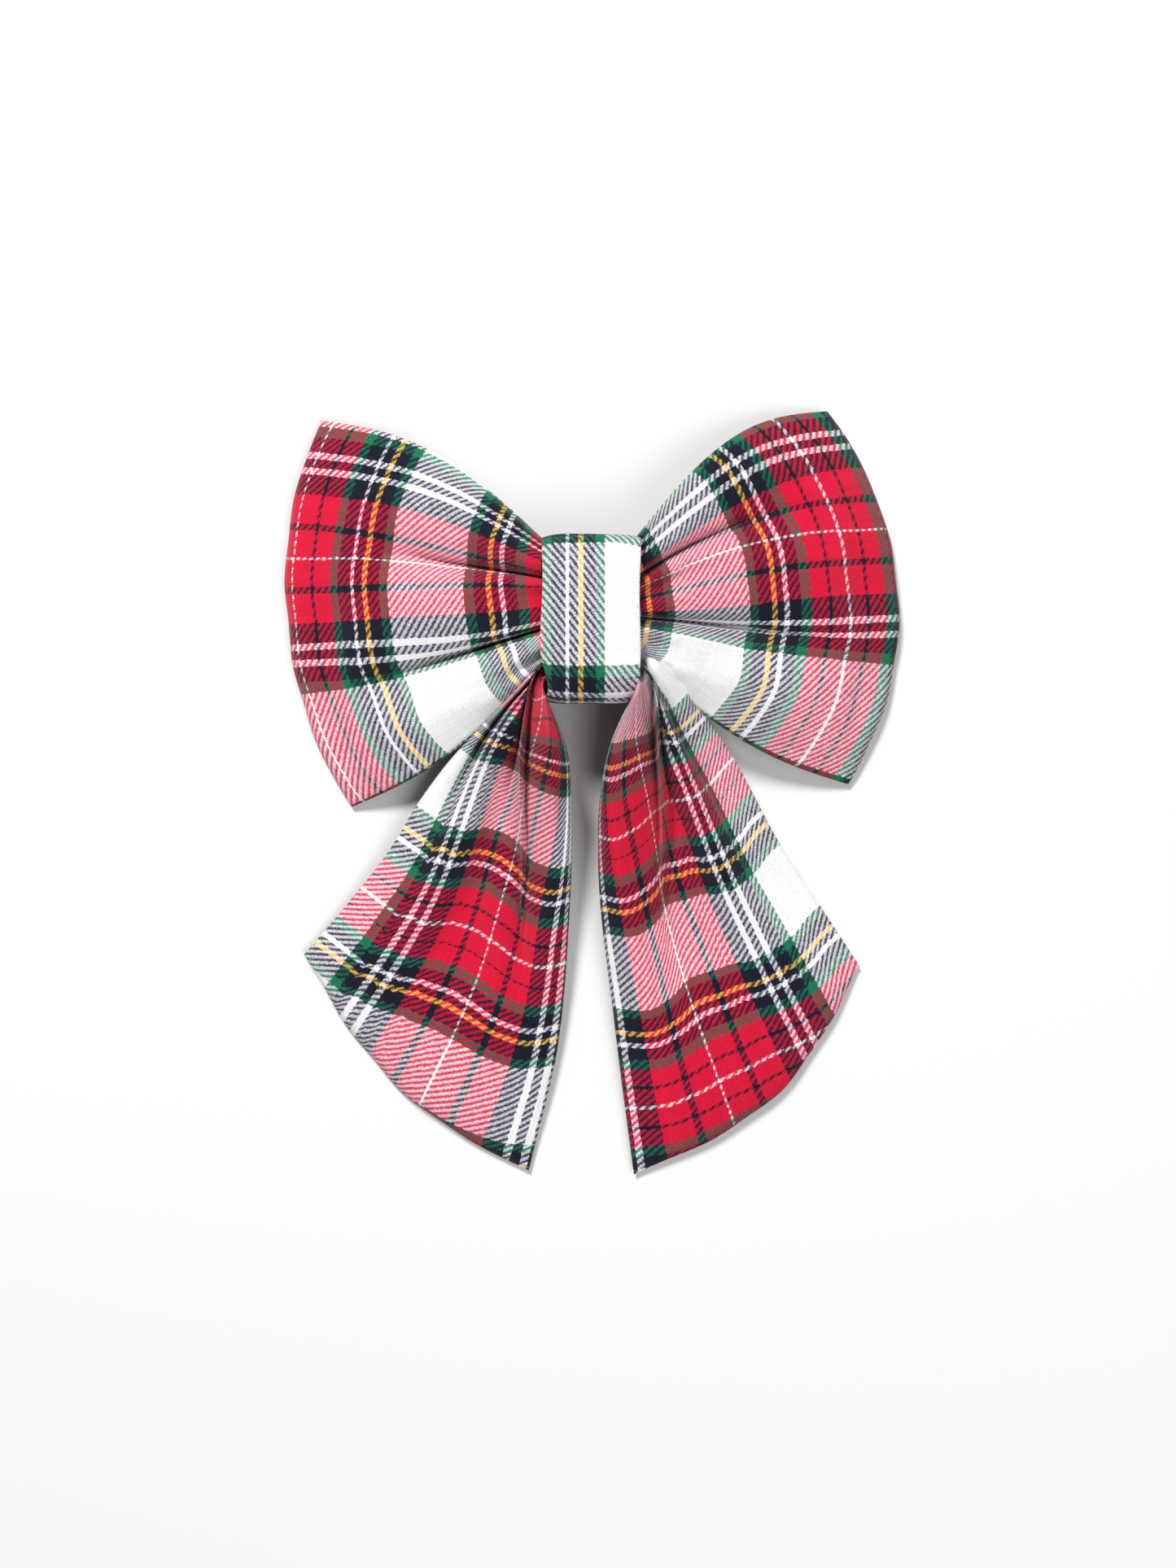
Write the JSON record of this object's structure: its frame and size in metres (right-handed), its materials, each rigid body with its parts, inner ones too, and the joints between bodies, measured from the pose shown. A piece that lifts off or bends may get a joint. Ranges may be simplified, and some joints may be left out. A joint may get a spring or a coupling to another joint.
{
  "type": "hair bow",
  "caption": "Gathered padded flannel hair bow with flared tails and a wrapped centre band, on a hinged spring-steel barrette.",
  "frame": {"origin": "middle of the closed clasp arm's flat underside, under the knot", "axes": "+Z out of the bow's face, +Y from the tails towards the top of the loops, +X along the barrette from its hinge to its catch"},
  "size_m": [0.1695, 0.208, 0.0305],
  "materials": {
    "tartan_flannel": "brushed twill, woven tartan in red, white, green and navy with a yellow line",
    "fleece": "soft batting",
    "interfacing": "non-woven",
    "thread": "twisted cotton",
    "felt": "matted wool",
    "glue": "hot-melt, satin",
    "nickel_steel": "nickel plated, satin"
  },
  "bodies": {
    "bow": {"bow_front_panel": "tartan_flannel", "bow_back_panel": "tartan_flannel", "bow_fleece_filling": "fleece", "left_tail_front_panel": "tartan_flannel", "left_tail_back_panel": "tartan_flannel", "left_tail_fleece_filling": "fleece", "right_tail_front_panel": "tartan_flannel", "right_tail_back_panel": "tartan_flannel", "right_tail_fleece_filling": "fleece", "centre_band": "tartan_flannel", "band_interfacing": "interfacing", "waist_thread": "thread", "felt_backing": "felt", "glue_bed": "glue", "barrette_base": "nickel_steel", "tension_bar": "nickel_steel", "catch_plate": "nickel_steel", "catch_prong_front": "nickel_steel", "catch_prong_rear": "nickel_steel", "catch_rivet": "nickel_steel", "hinge_pin": "nickel_steel"},
    "arm": {"clasp_arm": "nickel_steel"}
  },
  "joints": [
    {"name": "clasp_hinge", "type": "hinge", "parent": "bow", "child": "arm", "pos_m": [-0.032, 0, 0.0049], "axis": [0, 1, 0], "range_deg": [0, 75]}
  ]
}
